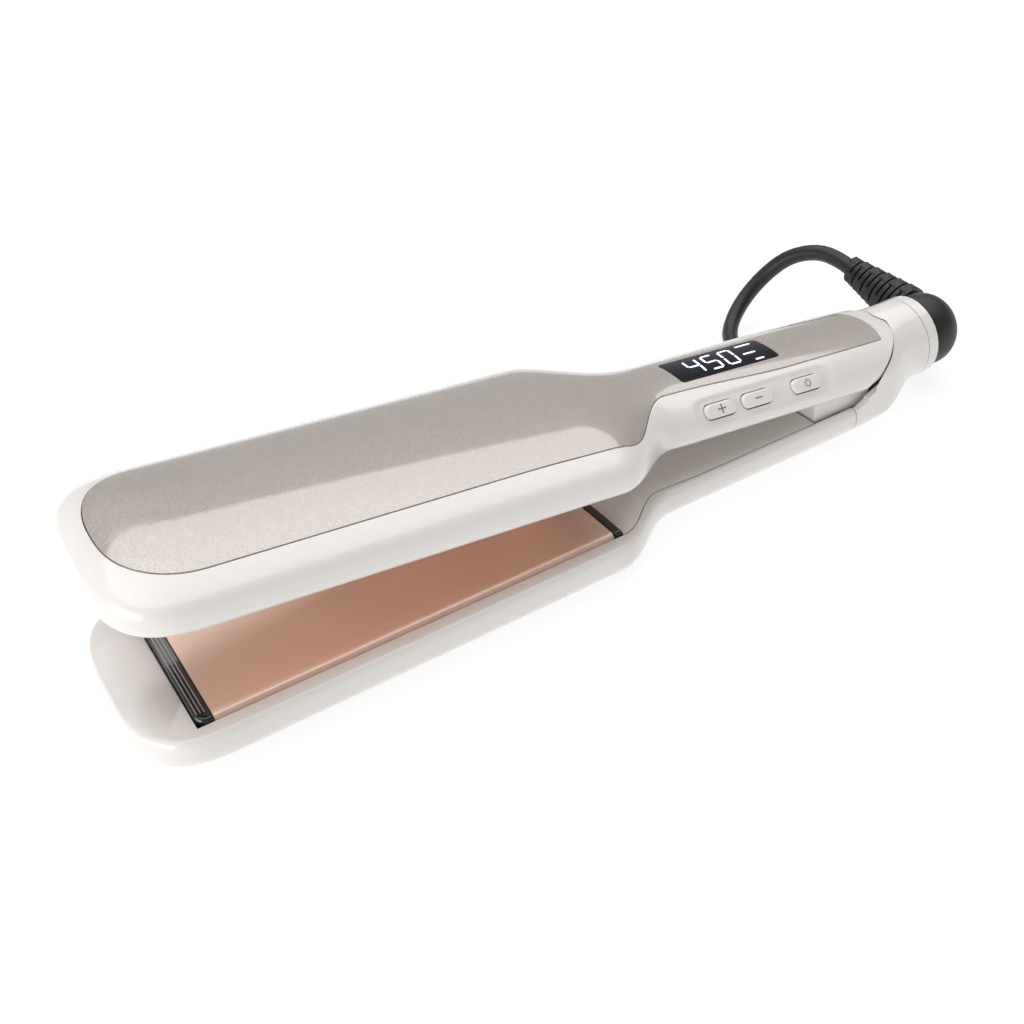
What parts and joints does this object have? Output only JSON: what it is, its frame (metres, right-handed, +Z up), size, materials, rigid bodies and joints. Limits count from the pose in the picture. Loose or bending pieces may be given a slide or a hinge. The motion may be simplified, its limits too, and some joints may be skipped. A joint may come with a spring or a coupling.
{
  "type": "hair flat iron",
  "caption": "Wide-plate hair flat iron, held open by its hinge spring, with floating plates, press buttons, display window and swivel cord.",
  "frame": {"origin": "centre of the base of the iron's bounding box without its mains cord, boot, coil and plug: under the lower arm's flat belly", "axes": "+X from the tip of the arms to the cord end, +Z up with the belly on z = 0, -Y towards the side with the buttons"},
  "size_m": [0.2719, 0.1213, 0.0553],
  "materials": {
    "white": "gloss",
    "champagne": "metallic flake under gloss lacquer",
    "copper": "satin coloured coating",
    "black": "satin",
    "window": "polished",
    "steel": "plain",
    "brass": "plain",
    "ceramic": "fired",
    "board": "satin",
    "rubber": "satin"
  },
  "bodies": {
    "lower_arm": {"lower_housing": "white", "lower_cover": "champagne", "lower_inner_panel": "white", "spring_block": "white", "power_board": "board", "yoke_barrel": "white", "hinge_pin": "steel", "opening_spring": "steel", "barrel_collar": "white", "contact_disc": "brass", "lower_float_spring_front": "steel", "lower_float_spring_rear": "steel", "cord_lead": "rubber", "cord_tail": "rubber", "cord_hank": "rubber", "cord_tie": "black", "plug_body": "rubber", "plug_blade_near": "brass", "plug_blade_far": "brass"},
    "upper_arm": {"upper_housing": "white", "upper_cover": "champagne", "upper_inner_panel": "white", "control_board": "board", "display_window": "window", "display_module": "black", "plus_switch": "black", "minus_switch": "black", "power_switch": "black", "upper_float_spring_front": "steel", "upper_float_spring_rear": "steel"},
    "lower_plate": {"lower_heating_plate": "copper", "lower_front_trim": "black", "lower_rear_trim": "black", "lower_heater": "ceramic", "lower_heater_clamp": "steel", "lower_heat_sensor": "ceramic"},
    "upper_plate": {"upper_heating_plate": "copper", "upper_front_trim": "black", "upper_rear_trim": "black", "upper_heater": "ceramic", "upper_heater_clamp": "steel", "upper_heat_sensor": "ceramic"},
    "plus_button": {"button_plus": "white"},
    "minus_button": {"button_minus": "white"},
    "power_button": {"button_power": "white"},
    "cord_swivel": {"cord_boot": "rubber", "swivel_hub": "black"}
  },
  "joints": [
    {"name": "arm_hinge", "type": "hinge", "parent": "lower_arm", "child": "upper_arm", "pos_m": [0.11505, 0, 0.01428], "axis": [0, 1, 0], "range_deg": [-6.7, 0], "stiffness_Nm_per_rad": 1, "springref_deg": 28.65},
    {"name": "lower_plate_float", "type": "slide", "parent": "lower_arm", "child": "lower_plate", "axis": [0, 0, 1], "range_m": [-0.001, 0], "stiffness_N_per_m": 3000, "springref_m": 0.001, "deforming": ["lower_float_spring_front", "lower_float_spring_rear"]},
    {"name": "upper_plate_float", "type": "slide", "parent": "upper_arm", "child": "upper_plate", "axis": [-0.1175, 0, -0.9931], "range_m": [-0.001, 0], "stiffness_N_per_m": 3000, "springref_m": 0.001, "deforming": ["upper_float_spring_front", "upper_float_spring_rear"]},
    {"name": "plus_press", "type": "slide", "parent": "upper_arm", "child": "plus_button", "axis": [-0.0782, 0.7466, -0.6606], "range_m": [0, 0.0006], "stiffness_N_per_m": 400, "springref_m": -0.001},
    {"name": "minus_press", "type": "slide", "parent": "upper_arm", "child": "minus_button", "axis": [-0.0782, 0.7466, -0.6606], "range_m": [0, 0.0006], "stiffness_N_per_m": 400, "springref_m": -0.001},
    {"name": "power_press", "type": "slide", "parent": "upper_arm", "child": "power_button", "axis": [-0.0782, 0.7466, -0.6606], "range_m": [0, 0.0006], "stiffness_N_per_m": 400, "springref_m": -0.001},
    {"name": "cord_swivel_turn", "type": "hinge", "parent": "lower_arm", "child": "cord_swivel", "pos_m": [0.13645, 0, 0.01652], "axis": [1, 0, 0], "continuous": true}
  ]
}
